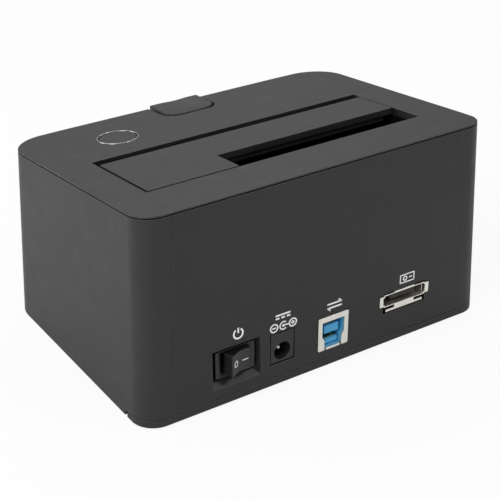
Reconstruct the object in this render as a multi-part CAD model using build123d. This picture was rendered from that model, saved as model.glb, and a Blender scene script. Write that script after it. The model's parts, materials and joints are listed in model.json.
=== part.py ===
from build123d import *
import os
from math import asin, atan2, cos, degrees, hypot, pi, radians, sin, tan

# A single-bay docking station for 2.5 and 3.5 inch drives. Millimetres, +Z up.
# The rear panel with the sockets faces +Y, the eject button faces -Y.
# Heights are measured from the underside of the base; the feet lift it all.

# Housing, outside
foot_length = 135.4
foot_depth = 96.0
top_length = 129.8
top_depth = 92.6
rear_height = 71.0
top_tilt = 6.6
front_corner_radius = 13.4
corner_radius = 8.0
wall = 2.4
foot_proud = 0.8

# Clearances
slip = 0.2
running = 0.05
play = 0.3

# Top cover
cover_thickness = 2.6
rim_thickness = 0.4
rim_edge = 0.2
seam_gap = 0.45
seam_depth = 0.9

# Base cover
base_thickness = 2.4
strip_height = 2.5
strip_end_height = 1.5
strip_front = 37.1
strip_end_gap = 1.4
strip_seam = 0.3
ledge_width = 1.6
ledge_height = 1.8
foot_radius = 5.0
foot_sunk = 1.0
foot_inset_x = 16.0
foot_inset_y = 13.7
foot_edge = 0.3

# Drive bay
bay_length = 104.5
bay_width = 35.6
bay_rear = 27.0
small_length = 71.5
small_width = 13.5
cradle_wall = 2.0
cradle_floor = 24.9
cradle_floor_thickness = 2.0
column_gap = 1.0
column_inset = 4.0
column_radius = 3.3
column_drop = 31.0
column_hole_depth = 12.0
ear_drop = 19.0
ear_thickness = 3.0
front_ear_x = 47.0
front_ear_reach = 4.0

# Flap door
flap_thickness = 2.0
flap_rise = 0.15
flap_gap = 0.85
flap_front = 4.4
hinge_drop = 3.4
hinge_inset = 5.05
hinge_pin_radius = 0.75
knuckle_radius = 1.6
knuckle_length = 8.0
flap_rib = 1.2
flap_rib_height = 2.0
flap_spring_x = 26.0
flap_spring_length = 9.0
flap_spring_leg = 9.0
flap_spring_wire = 0.4
swing_relief = 0.6
pin_boss = 1.2

# Eject button and lever
button_x = -0.45
button_width = 19.6
button_depth = 13.9
button_overhang = 0.35
button_rise = 0.9
button_rear_rise = 0.3
button_tile = 2.0
button_corner = 4.6
button_edge = 0.5
button_travel = 4.0
dish_radius = 60.0
dish_depth = 0.6
pocket_gap = 0.9
pocket_wall = 1.5
pocket_depth = 9.5
skirt_wall = 1.0
skirt_bottom = 5.2
stem_radius = 2.3
stem_inset = 9.5
clip_radius = 3.6
clip_thickness = 0.8
clip_groove = 0.4
eject_spring_wire = 0.5
lever_inset = 5.0
lever_z = 25.5
lever_tube_radius = 3.0
lever_pin_radius = 1.5
lever_low = -41.5
lever_high = 21.5
lever_lug = 3.0
arm_x = (-38.0, 17.5)
arm_width = 5.0
arm_thickness = 2.5
arm_end_inset = 4.6
arm_slot_top = 31.0
pad_radius = 2.0
pad_lift = 2.0
guide_drop = 33.0
guide_thickness = 3.0

# Round button in its bright ring
ring_x = 33.7
ring_inset = 17.2
ring_radius = 7.05
ring_inner = 6.65
ring_height = 1.75
ring_proud = 0.15
round_button_radius = 6.4
round_button_travel = 0.5
round_button_edge = 0.25
flange_radius = 7.8
flange_drop = 3.0
flange_thickness = 1.0
tact_side = 6.0
tact_drop = 7.3
tact_height = 3.4
plunger_radius = 1.75
key_board_length = 28.0
key_board_width = 10.0
key_screw_offset = 11.0

# Boards
board_thickness = 1.6
board_under = 18.5
board_gap = 1.0
board_rear_gap = 0.8
post_inset = 4.5
post_front = 5.5
post_rear = 6.4
post_radius = 3.0
sata_x = -8.5
sata_inset = 4.1
sata_length = 42.8
sata_width = 6.4
sata_height = 8.4
sata_slot_width = 2.8
sata_slot_depth = 5.4
sata_margin = 4.0
sata_data_length = 10.6
sata_bridge = 2.6
sata_pitch = 1.27
sata_contact_width = 0.6
sata_contact_thickness = 0.3
chip_x = 25.0
chip_y = 6.5
chip_side = 9.0
chip_height = 1.1
crystal_x = 34.0
crystal_length = 11.0
crystal_width = 4.6
crystal_height = 2.5
capacitor_x = 12.0
capacitor_pitch = 10.0
capacitor_y = 8.0
capacitor_radius = 3.15
capacitor_height = 8.5
capacitor_edge = 0.4

# Rear panel
window_half_top = 55.0
window_half_foot = 57.8
panel_skin = 1.2
panel_flange = 1.6
panel_gap = 0.2
port_face_z = 13.0

# Rocker switch
switch_x = 34.15
switch_z = 14.0
pocket_x = 34.1
pocket_z = 13.15
pocket_length = 17.8
pocket_height = 13.9
pocket_sink = 2.9
pocket_floor_margin = 0.3
pocket_shell = 1.6
bezel_length = 14.6
bezel_height = 9.9
bezel_thickness = 2.0
bezel_slope = 1.0
bezel_slope_depth = 0.6
switch_body_length = 13.2
switch_body_height = 8.6
switch_body_depth = 12.0
rocker_length = 9.5
rocker_height = 7.4
rocker_gap = 0.2
rocker_pivot_depth = 2.6
rocker_tilt = 12.5
rocker_end_rise = 2.2
rocker_middle_rise = 1.4
trunnion_radius = 0.9
trunnion_length = 0.5
terminal_spacing = 9.0
terminal_width = 4.7
terminal_thickness = 0.8
terminal_length = 6.0
terminal_sunk = 2.3

# Power jack
jack_x = 16.9
jack_width = 8.7
jack_height = 10.5
jack_depth = 14.0
jack_bore = 3.2
jack_bore_z = 11.8
jack_bore_depth = 9.5
jack_pin_radius = 1.0
jack_pin_back = 2.3
jack_gap = 0.45
port_gap = 0.35

# USB type B socket
usb_x = -3.05
usb_width = 12.0
usb_height = 12.5
usb_depth = 17.0
usb_mouth_width = 8.8
usb_mouth_top = 2.0
usb_mouth_wide = 5.3
usb_mouth_chamfer = 1.6
usb_mouth_narrow = 6.9
usb_mouth_height = 9.8
usb_mouth_depth = 9.0
usb_tongue_back = 1.0
usb_upper_width = 5.7
usb_upper_drop = 4.1
usb_upper_thickness = 3.0
usb_lower_width = 4.9
usb_lower_drop = 9.3
usb_lower_thickness = 1.7
usb_lining = 0.4
usb_lining_back = 0.6

# eSATA socket
esata_x = -32.6
esata_z = 16.2
esata_width = 17.2
esata_height = 4.6
esata_depth = 14.0
esata_wall = 0.3
esata_tab = 1.8
esata_tab_height = 3.9
esata_mouth_depth = 7.0
esata_slit = 0.35

# Fasteners
screw_radius = 1.25
screw_head_radius = 2.5
screw_head_height = 1.6
small_screw_radius = 0.9
small_head_radius = 1.8
small_head_height = 1.2
frame_screw_length = 9.0
board_screw_length = 8.0
key_screw_length = 5.0

tilt = radians(top_tilt)
bay_front = bay_rear - bay_width
bay_half = bay_length / 2
cradle_half = bay_half + cradle_wall
port_top = board_under
slimmest = min(foot_length, top_length) / 2
shallowest = min(foot_depth, top_depth) / 2


def side_at(z):
    """Outside length and depth of the housing at a height."""
    share = z / rear_height
    length = foot_length + (top_length - foot_length) * share
    depth = foot_depth + (top_depth - foot_depth) * share
    return length, depth


def rear_y(z):
    return side_at(z)[1] / 2


def top_z(y):
    return rear_height - tan(tilt) * (top_depth / 2 - y)


top_plane = Plane(origin=(0, 0, top_z(0)), x_dir=(1, 0, 0), z_dir=(0, -sin(tilt), cos(tilt)))
port_y = rear_y(port_face_z)
front_height = top_z(-top_depth / 2)
button_front = -side_at(front_height)[1] / 2 - button_overhang
stem_y = button_front + stem_inset
lever_y = bay_front - cradle_wall - lever_inset
arm_reach = bay_rear - arm_end_inset - lever_y
guide_z = rear_height - guide_drop
ring_v = bay_front - ring_inset
hinge_y = bay_front + hinge_inset
hinge_v = (hinge_y - hinge_drop * sin(tilt)) / cos(tilt)
hinge_z = top_z(hinge_v * cos(tilt)) - hinge_drop * cos(tilt)
foot_x = foot_length / 2 - foot_inset_x
foot_y = foot_depth / 2 - foot_inset_y
column_x = slimmest - wall - column_radius - column_gap
column_y = (bay_front + column_inset, bay_rear - column_inset + slip * 2)
column_top = rear_height - column_drop
ear_height = rear_height - ear_drop
end_ear_y = (bay_front + bay_rear) / 2
board_half_length = bay_half - board_gap
board_front = bay_front + board_gap
board_top = board_under + board_thickness
post_x = bay_half - post_inset
post_y = (bay_front + post_front, bay_rear + post_rear)
sata_y = bay_rear - sata_inset


def box(low_x, high_x, low_y, high_y, low_z, high_z):
    middle = Location(((low_x + high_x) / 2, (low_y + high_y) / 2, (low_z + high_z) / 2))
    return middle * Box(high_x - low_x, high_y - low_y, high_z - low_z)


def rod_z(x, y, radius, low, high):
    return Location((x, y, (low + high) / 2)) * Cylinder(radius, high - low)


def rod_x(y, z, radius, low, high):
    return Location(((low + high) / 2, y, z), (0, 90, 0)) * Cylinder(radius, high - low)


def rod_y(x, z, radius, low, high):
    return Location((x, (low + high) / 2, z), (90, 0, 0)) * Cylinder(radius, high - low)


def top_rod(x, v, radius, high, low):
    """A rod square to the sloping top, between two depths below it."""
    rod = Location((x, v, -(high + low) / 2)) * Cylinder(radius, low - high)
    return top_plane.location * rod


def top_box(low_x, high_x, low_v, high_v, high, low):
    block = box(low_x, high_x, low_v, high_v, -low, -high)
    return top_plane.location * block


def upright_edges(block, side):
    """The upright edges of a block on its front side (-1) or its rear side (1)."""
    rises = [edge for edge in block.edges() if abs((edge @ 1 - edge @ 0).Z) > edge.length / 2]
    return [edge for edge in rises if edge.center().Y * side > 0]


def housing_block(inset, low, high):
    """The flared form of the housing, set in by a wall, between two heights."""
    rims = []
    for z in (low, high):
        length, depth = side_at(z)
        rims.append(Plane.XY.offset(z) * Rectangle(length - 2 * inset, depth - 2 * inset))
    block = loft(rims, ruled=True)
    block = fillet(upright_edges(block, -1), front_corner_radius - inset)
    return fillet(upright_edges(block, 1), corner_radius - inset)


def under_top(drop):
    """Everything lower than the sloping top, lowered square to it."""
    reach = foot_length
    fall = drop / cos(tilt)
    corners = [
        (-reach, -reach),
        (reach, -reach),
        (reach, top_z(reach) - fall),
        (-reach, top_z(-reach) - fall),
    ]
    side = Plane.YZ * make_face(Polyline(*corners, close=True))
    return extrude(side, amount=reach, both=True)


def window_prism(extra, front, back, low):
    """The leaning sides of the rear window, widened by an extra."""
    high = rear_height
    lean = (window_half_foot - window_half_top) / rear_height
    half_low = window_half_foot - lean * low + extra
    half_high = window_half_foot - lean * high + extra
    corners = [(-half_low, low), (half_low, low), (half_high, high), (-half_high, high)]
    outline = Plane.XZ * make_face(Polyline(*corners, close=True))
    return Location((0, back, 0)) * extrude(outline, amount=back - front)


def strip_band(front, grow):
    """The space of the base strip, which gets lower towards its front ends."""
    level = foot_depth / 2 - corner_radius / 2
    corners = [
        (front, -1),
        (foot_depth, -1),
        (foot_depth, strip_height + grow),
        (level, strip_height + grow),
        (front, strip_end_height + grow),
    ]
    side = Plane.YZ * make_face(Polyline(*corners, close=True))
    return extrude(side, amount=foot_length, both=True)


def screw(radius, head_radius, head_height, length):
    """A pan-head screw with its seat at the origin and its shank along +Z."""
    head = Location((0, 0, -head_height / 2)) * Cylinder(head_radius, head_height)
    head = chamfer(head.edges().group_by(Axis.Z)[0], head_height * 0.4)
    shank = Location((0, 0, length / 2)) * Cylinder(radius, length)
    return head + shank


def frame_screw(length):
    return screw(screw_radius, screw_head_radius, screw_head_height, length)


# Housing shells

def make_body_shell():
    shell = housing_block(0, 0, rear_height) & under_top(rim_thickness + seam_gap)
    shell += housing_block(seam_depth, 0, rear_height) & under_top(rim_thickness)
    shell -= housing_block(wall, -1, rear_height + 1)
    ledge_low = base_thickness
    ledge_high = base_thickness + ledge_height
    ledge = housing_block(wall - slip, ledge_low, ledge_high)
    ledge -= housing_block(wall + ledge_width, ledge_low - 1, ledge_high + 1)
    ledge -= box(-foot_length, foot_length, strip_front - slip, foot_depth, 0, rear_height)
    shell += ledge
    inner_rear = shallowest - wall - ledge_width
    shell -= window_prism(0, inner_rear, foot_depth, 0)
    recess = window_prism(panel_flange, inner_rear, foot_depth, 0)
    shell -= recess & housing_block(panel_skin, -1, rear_height + 1)
    shell -= strip_band(strip_front - strip_end_gap, strip_seam)
    shell -= button_pocket_space(button_travel + button_tile - button_rise + play)
    guide_low_y = -side_at(guide_z)[1] / 2 + wall / 2
    guide = box(
        button_x - 6, button_x + 6, guide_low_y, stem_y + stem_radius + 2.2,
        guide_z, guide_z + guide_thickness,
    )
    web = box(
        button_x - 1, button_x + 1, guide_low_y, stem_y - stem_radius - 1.5,
        guide_z - 8, guide_z + 0.5,
    )
    guide += web
    guide -= rod_z(button_x, stem_y, stem_radius + play, 0, rear_height)
    return shell + guide


def button_outline(grow):
    """Outline of the eject button on the sloping top, open towards the front."""
    half = button_width / 2 + grow
    rear = (button_front + button_depth) / cos(tilt) + grow
    front = button_front / cos(tilt) - grow
    corner = button_corner + grow
    path = Polyline(
        (button_x - half, rear - corner), (button_x - half, front),
        (button_x + half, front), (button_x + half, rear - corner),
    )
    left = RadiusArc((button_x - half, rear - corner), (button_x - half + corner, rear), corner)
    right = RadiusArc((button_x + half - corner, rear), (button_x + half, rear - corner), corner)
    back = Line((button_x - half + corner, rear), (button_x + half - corner, rear))
    return make_face([*path.edges(), left, back, right])


def button_pocket_space(depth):
    space = extrude(top_plane * button_outline(pocket_gap), amount=-depth)
    space += extrude(top_plane * button_outline(pocket_gap), amount=button_rise)
    front = foot_depth / 2 + 5
    half = button_width / 2 + pocket_gap
    mouth = box(
        button_x - half, button_x + half, -front / cos(tilt), (button_front + 1) / cos(tilt),
        -depth, button_rise,
    )
    return space + top_plane.location * mouth


def cover_bosses():
    points = [(column_x, end_ear_y), (-column_x, end_ear_y)]
    front_y = bay_front - cradle_wall - front_ear_reach
    points += [(front_ear_x, front_y), (-front_ear_x, front_y)]
    return points


def make_top_cover():
    rim = housing_block(0, 0, rear_height + 1) & under_top(0)
    top_face = rim.faces().sort_by(Axis((0, 0, 0), (0, -sin(tilt), cos(tilt))))[-1]
    rim = chamfer(top_face.outer_wire().edges(), rim_edge)
    rim -= under_top(rim_thickness)
    spigot = housing_block(wall + slip, 0, rear_height) & under_top(rim_thickness / 2)
    spigot -= under_top(cover_thickness)
    cover = rim + spigot
    under = under_top(cover_thickness / 2)
    pocket = extrude(top_plane * button_outline(pocket_gap + pocket_wall), amount=-pocket_depth - pocket_wall)
    pocket &= housing_block(wall + slip, 0, rear_height)
    cover += pocket & under
    inside = extrude(top_plane * button_outline(pocket_gap), amount=-pocket_depth)
    inside &= housing_block(wall + slip + pocket_wall, 0, rear_height)
    cover -= inside
    cover -= button_pocket_space(button_travel + button_tile - button_rise + play)
    cover -= rod_z(button_x, stem_y, stem_radius + play, 0, rear_height)
    for x, y in cover_bosses():
        boss = rod_z(x, y, column_radius, ear_height, rear_height)
        cover += boss & under
        cover -= rod_z(x, y, screw_radius + running, ear_height - 1, ear_height + 7)
    for side in (-1, 1):
        x = ring_x + side * key_screw_offset
        stub = top_rod(x, ring_v, 2.6, cover_thickness / 2, tact_drop + tact_height)
        cover += stub
        cover -= top_rod(x, ring_v, small_screw_radius + running, tact_drop - 1, tact_drop + tact_height + 1)
    cover -= box(-bay_half, bay_half, bay_front, bay_rear, cradle_floor, rear_height + 5)
    relief = box(-bay_half, bay_half, bay_front, bay_rear + swing_relief, cradle_floor, rear_height)
    cover -= relief & under
    seat = ring_height - ring_proud
    cover -= top_rod(ring_x, ring_v, ring_radius + running / 2, -1, seat)
    cover -= top_rod(ring_x, ring_v, ring_inner + running, seat - 1, cover_thickness + 1)
    return cover


def make_base_cover():
    base = housing_block(wall + slip, 0, base_thickness)
    base += housing_block(0, 0, strip_height) & strip_band(strip_front, 0)
    for x in (-post_x, post_x):
        for y in post_y:
            base += rod_z(x, y, post_radius, base_thickness / 2, board_under)
            base += box(x - 0.8, x + 0.8, y - 6, y + 6, base_thickness / 2, board_under / 2)
            base -= rod_z(x, y, screw_radius + running, board_under - 8, board_under + 1)
    for x in (-column_x, column_x):
        for y in column_y:
            base -= rod_z(x, y, screw_radius + play, -1, base_thickness + 1)
            base -= rod_z(x, y, screw_head_radius + play, -1, screw_head_height)
            base += rod_z(x, y, column_radius, screw_head_height, base_thickness + 0.4) - rod_z(
                x, y, screw_radius + play, -1, base_thickness + 1
            )
    for x in (-foot_x, foot_x):
        for y in (-foot_y, foot_y):
            base -= rod_z(x, y, foot_radius + running, -1, foot_sunk)
    return base


def make_rubber_feet():
    feet = []
    for x in (-foot_x, foot_x):
        for y in (-foot_y, foot_y):
            foot = rod_z(x, y, foot_radius, -foot_proud, foot_sunk)
            feet.append(chamfer(foot.edges().group_by(Axis.Z)[0], foot_edge))
    return feet


def funnel(mouth_middle, mouth_size, floor_middle, floor_size):
    """A pocket with four sloping sides, from a mouth in the rear face to a smaller floor."""
    mouth = Plane(origin=mouth_middle, x_dir=(1, 0, 0), z_dir=(0, 1, 0)) * Rectangle(*mouth_size)
    floor = Plane(origin=floor_middle, x_dir=(1, 0, 0), z_dir=(0, 1, 0)) * Rectangle(*floor_size)
    return loft([mouth, floor], ruled=True) + extrude(mouth, amount=1)


def make_rear_panel():
    reach = foot_depth
    low = strip_height
    skin = window_prism(-panel_gap, 0, reach, low + strip_seam)
    skin &= housing_block(0, 0, rear_height) & under_top(rim_thickness + seam_gap)
    skin -= housing_block(panel_skin + running, -1, rear_height + 1)
    backing = window_prism(panel_flange - panel_gap, 0, reach, low)
    backing &= housing_block(panel_skin + running, 0, rear_height) & under_top(rim_thickness + running)
    backing -= housing_block(wall, -1, rear_height + 1)
    behind = box(
        -foot_length, foot_length, -foot_depth, shallowest - corner_radius, -1, rear_height + 1
    )
    panel = skin + backing - behind
    half = pocket_length / 2 + pocket_shell
    rise = pocket_height / 2 + pocket_shell
    shell_back = port_y - pocket_sink - pocket_shell
    panel += box(
        pocket_x - half, pocket_x + half, shell_back, port_y - wall, pocket_z - rise, pocket_z + rise
    )
    panel -= funnel(
        (pocket_x, port_y, pocket_z), (pocket_length, pocket_height),
        (switch_x, port_y - pocket_sink, switch_z),
        (bezel_length + 2 * pocket_floor_margin, bezel_height + 2 * pocket_floor_margin),
    )
    panel -= box(
        switch_x - switch_body_length / 2 - slip, switch_x + switch_body_length / 2 + slip, 0, reach,
        switch_z - switch_body_height / 2 - slip, switch_z + switch_body_height / 2 + slip,
    )
    panel -= box(
        jack_x - jack_width / 2 - jack_gap, jack_x + jack_width / 2 + jack_gap, 0, reach,
        port_top - jack_height - jack_gap, port_top + jack_gap,
    )
    gap = port_gap
    panel -= box(
        usb_x - usb_width / 2 - gap, usb_x + usb_width / 2 + gap, 0, reach,
        port_top - usb_height - gap, port_top + gap,
    )
    tabs = esata_width / 2 + esata_tab + gap
    panel -= box(
        esata_x - tabs, esata_x + tabs, 0, reach,
        esata_z - esata_tab_height / 2 - gap, esata_z + esata_tab_height / 2 + gap,
    )
    panel -= box(
        esata_x - esata_width / 2 - gap, esata_x + esata_width / 2 + gap, 0, reach,
        esata_z - esata_height / 2 - 2.6, esata_z + esata_height / 2 + 0.7,
    )
    return panel


# Drive bay

def make_drive_cradle():
    outer_front = bay_front - cradle_wall
    inner_rear = bay_rear + swing_relief
    outer_rear = inner_rear + cradle_wall
    floor_top = cradle_floor + cradle_floor_thickness
    cradle = box(-cradle_half, cradle_half, outer_front, outer_rear, cradle_floor, rear_height)
    for low in (-cradle_half - pin_boss, cradle_half - 0.5):
        cradle += box(
            low, low + pin_boss + 0.5, hinge_y - 2.5, hinge_y + 2.5, hinge_z - 5, rear_height
        )
    cradle -= box(-bay_half, bay_half, bay_front, inner_rear, floor_top, rear_height + 1)
    cradle &= under_top(cover_thickness + slip)
    for x in (-column_x, column_x):
        inner = cradle_half if x > 0 else -cradle_half
        low, high = sorted((inner - (x / abs(x)) * 0.5, x))
        for y in column_y:
            cradle += rod_z(x, y, column_radius, base_thickness + 0.4, column_top)
            cradle += box(low, high, y - 1.2, y + 1.2, cradle_floor, column_top)
            cradle -= rod_z(x, y, screw_radius + running, 0, column_hole_depth)
    for x, y in cover_bosses():
        ear_low = ear_height - ear_thickness
        cradle += rod_z(x, y, column_radius, ear_low, ear_height)
        if abs(x) > cradle_half:
            low, high = sorted((cradle_half * x / abs(x) - 0.5 * x / abs(x), x))
            cradle += box(low, high, y - column_radius, y + column_radius, ear_low, ear_height)
        else:
            cradle += box(x - column_radius, x + column_radius, y, outer_front + 0.5, ear_low, ear_height)
        cradle -= rod_z(x, y, screw_radius + running, ear_low - 1, ear_height + 1)
    pin_half = cradle_half
    groove_radius = hinge_pin_radius + running / 2
    groove = rod_x(hinge_y, hinge_z, groove_radius, -pin_half, pin_half)
    groove += box(
        -pin_half, pin_half, hinge_y - groove_radius, hinge_y + groove_radius, hinge_z, rear_height
    )
    cradle -= groove
    sata_half = sata_length / 2 + play
    cradle -= box(
        sata_x - sata_half, sata_x + sata_half, sata_y - sata_width / 2 - play,
        sata_y + sata_width / 2 + play, cradle_floor - 1, floor_top + 1,
    )
    arm_half = arm_width / 2 + 2 * play
    for x in arm_x:
        cradle -= box(
            x - arm_half, x + arm_half, outer_front - 1, lever_y + arm_reach + 2,
            cradle_floor - 1, floor_top + 1,
        )
        cradle -= box(x - arm_half, x + arm_half, outer_front - 1, bay_front + 1, cradle_floor - 1, arm_slot_top)
    for low in (lever_low - running - lever_lug, lever_high + running):
        lug = box(
            low, low + lever_lug, lever_y - lever_tube_radius, outer_front + 0.5,
            lever_z - lever_tube_radius, cradle_floor + 9,
        )
        lug -= rod_x(lever_y, lever_z, lever_pin_radius + 0.02, low - 1, low + lever_lug + 1)
        cradle += lug
    return cradle


def make_flap_door():
    edge_z = top_z(bay_rear) - cover_thickness / 2 / cos(tilt)
    past_edge = hypot(bay_rear - play - hinge_y, edge_z - hinge_z)
    past_wall = bay_rear + swing_relief - play - hinge_y
    swing = min(past_edge, past_wall)
    reach = (swing ** 2 - (hinge_drop + flap_rise) ** 2) ** 0.5
    front_v = (bay_front + flap_front) / cos(tilt)
    rear_v = hinge_v + reach
    half = bay_half - flap_gap
    flap = top_box(-half, half, front_v, rear_v, -flap_rise, flap_thickness)
    notch_v = (bay_rear - small_width) / cos(tilt)
    notch_x = -bay_half + small_length
    flap -= top_box(-bay_length, notch_x, notch_v, rear_v + 1, -1, flap_thickness + 1)
    rib_low = flap_thickness + flap_rib_height
    rib_start = hinge_v + knuckle_radius + 1
    for x in (-half + 3, -half / 3):
        flap += top_box(x, x + flap_rib, rib_start, notch_v - 1, flap_thickness / 2, rib_low)
    for x in (notch_x + 1, half - 3 - flap_rib):
        flap += top_box(x, x + flap_rib, rib_start, rear_v - 2, flap_thickness / 2, rib_low)
    flap += top_box(-half + 3, half - 3, notch_v - 1 - flap_rib, notch_v - 1, flap_thickness / 2, rib_low)
    starts = (-half, -knuckle_length / 2, half - knuckle_length)
    for low in starts:
        knuckle = rod_x(hinge_y, hinge_z, knuckle_radius, low, low + knuckle_length)
        cheek_low = hinge_v - knuckle_radius * 0.6
        knuckle += top_box(low, low + knuckle_length, hinge_v, hinge_v + knuckle_radius,
                           flap_thickness / 2, hinge_drop)
        knuckle += top_box(low, low + knuckle_length, cheek_low, hinge_v + 1, flap_thickness / 2, hinge_drop)
        flap += knuckle
    flap -= rod_x(hinge_y, hinge_z, hinge_pin_radius + running, -bay_length, bay_length)
    return flap


def make_flap_pin():
    half = bay_half + cradle_wall - slip
    return rod_x(hinge_y, hinge_z, hinge_pin_radius, -half, half)


def make_flap_spring():
    """A torsion spring on the hinge pin, with a leg on the cradle and one under the flap."""
    inner = hinge_pin_radius + 0.15
    outer = inner + flap_spring_wire
    low = flap_spring_x
    high = flap_spring_x + flap_spring_length
    coil = rod_x(hinge_y, hinge_z, outer, low, high) - rod_x(hinge_y, hinge_z, inner, low - 1, high + 1)
    middle = (inner + outer) / 2
    fixed = box(
        low, low + flap_spring_wire, bay_front + running, hinge_y, hinge_z - middle - flap_spring_wire / 2,
        hinge_z - middle + flap_spring_wire / 2,
    )
    moving = top_box(
        high - flap_spring_wire, high, hinge_v, hinge_v + flap_spring_leg,
        flap_thickness + running, flap_thickness + running + flap_spring_wire,
    )
    return coil + fixed + moving


# Eject mechanism

def stem_foot():
    return lever_z + pad_lift + pad_radius + slip / 2


def tile_plane():
    """Top of the button, which stands higher at its front edge than at its rear one."""
    lean = atan2(button_rise - button_rear_rise, button_depth)
    middle_v = (button_front + button_depth / 2) / cos(tilt)
    middle = top_plane.location * Location((button_x, middle_v, (button_rise + button_rear_rise) / 2))
    return Plane(
        origin=middle.position, x_dir=(1, 0, 0), z_dir=(0, -sin(tilt - lean), cos(tilt - lean))
    )


def make_eject_button():
    tile_low = button_rise - button_tile
    tile = extrude(top_plane.offset(tile_low) * button_outline(0), amount=button_tile)
    face = tile_plane()
    above = face.offset(dish_radius) * Rectangle(4 * button_width, 4 * button_depth)
    tile -= extrude(above, amount=-dish_radius)
    tile = fillet(tile.faces().sort_by(Axis((0, 0, 0), tuple(face.z_dir)))[-1].edges(), button_edge)
    tile -= face.location * Location((0, 0, dish_radius - dish_depth)) * Sphere(dish_radius)
    skirt = extrude(top_plane.offset(-skirt_bottom) * button_outline(0), amount=skirt_bottom + tile_low + 0.5)
    hollow = top_plane.offset(-skirt_bottom - 1) * button_outline(-skirt_wall)
    skirt -= extrude(hollow, amount=skirt_bottom + 5)
    inside = housing_block(wall + slip + pocket_wall + play, 0, rear_height)
    skirt &= inside
    front_y = -side_at(top_z(button_front))[1] / 2 + wall + slip + pocket_wall + play + 0.1
    lip = top_box(
        button_x - button_width / 2 + skirt_wall / 2, button_x + button_width / 2 - skirt_wall / 2,
        front_y / cos(tilt), (front_y + skirt_wall) / cos(tilt), -tile_low - 0.5, skirt_bottom,
    )
    stem = rod_z(button_x, stem_y, stem_radius, stem_foot(), top_z(stem_y - stem_radius) + tile_low + 0.2)
    button = tile + skirt + lip + stem
    groove = rod_z(button_x, stem_y, stem_radius + 1, clip_z() - running, clip_z() + clip_thickness + running)
    groove -= rod_z(button_x, stem_y, stem_radius - clip_groove, 0, rear_height)
    return button - groove


def clip_z():
    """Underside of the clip that stops the stem below the pocket floor."""
    under_floor = top_z(stem_y - clip_radius) - (pocket_depth + pocket_wall) / cos(tilt)
    return under_floor - running - clip_thickness


def make_eject_clip():
    clip = rod_z(button_x, stem_y, clip_radius, clip_z(), clip_z() + clip_thickness)
    clip -= rod_z(button_x, stem_y, stem_radius - clip_groove + running, 0, rear_height)
    mouth = stem_radius - clip_groove - 0.2
    return clip - box(button_x - mouth, button_x + mouth, stem_y, stem_y + 9, 0, rear_height)


def make_eject_spring():
    """A short compression spring between the pocket floor and the button."""
    inner = stem_radius + play
    low = top_z(stem_y) - pocket_depth / cos(tilt) + tan(tilt) * (inner + eject_spring_wire) + running
    high = top_z(stem_y) + (button_rise - button_tile) / cos(tilt)
    high -= tan(tilt) * (inner + eject_spring_wire) + running
    spring = rod_z(button_x, stem_y, inner + eject_spring_wire, low, high)
    return spring - rod_z(button_x, stem_y, inner, 0, rear_height)


def make_eject_lever():
    lever = rod_x(lever_y, lever_z, lever_tube_radius, lever_low, lever_high)
    for x in arm_x:
        arm = box(
            x - arm_width / 2, x + arm_width / 2, lever_y, lever_y + arm_reach - arm_thickness / 2,
            lever_z - arm_thickness / 2, lever_z + arm_thickness / 2,
        )
        tip = rod_x(lever_y + arm_reach - arm_thickness / 2, lever_z, arm_thickness / 2,
                    x - arm_width / 2, x + arm_width / 2)
        lever += arm + tip
    run = lever_y - stem_y
    slope = degrees(atan2(pad_lift, -run))
    length = hypot(run, pad_lift)
    bar = Location((button_x, lever_y, lever_z), (slope, 0, 0)) * box(
        -arm_width / 2, arm_width / 2, 0, length, -arm_thickness / 2, arm_thickness / 2
    )
    lever += bar
    lever += rod_x(stem_y, lever_z + pad_lift, pad_radius, button_x - arm_width / 2, button_x + arm_width / 2)
    return lever - rod_x(lever_y, lever_z, lever_pin_radius + running, lever_low - 1, lever_high + 1)


def make_lever_pin():
    overhang = lever_lug + running
    return rod_x(lever_y, lever_z, lever_pin_radius, lever_low - overhang, lever_high + overhang)


# Round button

def make_button_ring():
    ring = top_rod(ring_x, ring_v, ring_radius, -ring_proud, ring_height - ring_proud)
    ring -= top_rod(ring_x, ring_v, ring_inner, -1, ring_height + 1)
    upper = ring.faces().sort_by(Axis((0, 0, 0), (0, -sin(tilt), cos(tilt))))[-1]
    return chamfer(upper.edges(), ring_proud * 0.7)


def make_round_button():
    cap = top_rod(ring_x, ring_v, round_button_radius, 0, flange_drop + 0.1)
    upper = cap.faces().sort_by(Axis((0, 0, 0), (0, -sin(tilt), cos(tilt))))[-1]
    cap = chamfer(upper.edges(), round_button_edge)
    cap += top_rod(ring_x, ring_v, flange_radius, flange_drop, flange_drop + flange_thickness)
    return cap + top_rod(ring_x, ring_v, plunger_radius, flange_drop, tact_drop - 0.9)


def make_tact_plunger():
    return top_rod(ring_x, ring_v, plunger_radius, tact_drop - 0.9, tact_drop + 0.7)


def make_tact_switch():
    half = tact_side / 2
    body = top_box(
        ring_x - half, ring_x + half, ring_v - half, ring_v + half, tact_drop, tact_drop + tact_height
    )
    well = 0.7 + round_button_travel + 0.1
    return body - top_rod(ring_x, ring_v, plunger_radius + running, tact_drop - 1, tact_drop + well)


def make_key_board():
    high = tact_drop + tact_height
    board = top_box(
        ring_x - key_board_length / 2, ring_x + key_board_length / 2,
        ring_v - key_board_width / 2, ring_v + key_board_width / 2, high, high + board_thickness,
    )
    for side in (-1, 1):
        x = ring_x + side * key_screw_offset
        board -= top_rod(x, ring_v, small_screw_radius + slip, high - 1, high + board_thickness + 1)
    return board


def make_key_board_screws():
    seat = tact_drop + tact_height + board_thickness
    screws = []
    for side in (-1, 1):
        place = Location((ring_x + side * key_screw_offset, ring_v, -seat))
        one = screw(small_screw_radius, small_head_radius, small_head_height, key_screw_length)
        screws.append(top_plane.location * place * one)
    return screws


# Main board and its parts

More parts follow.
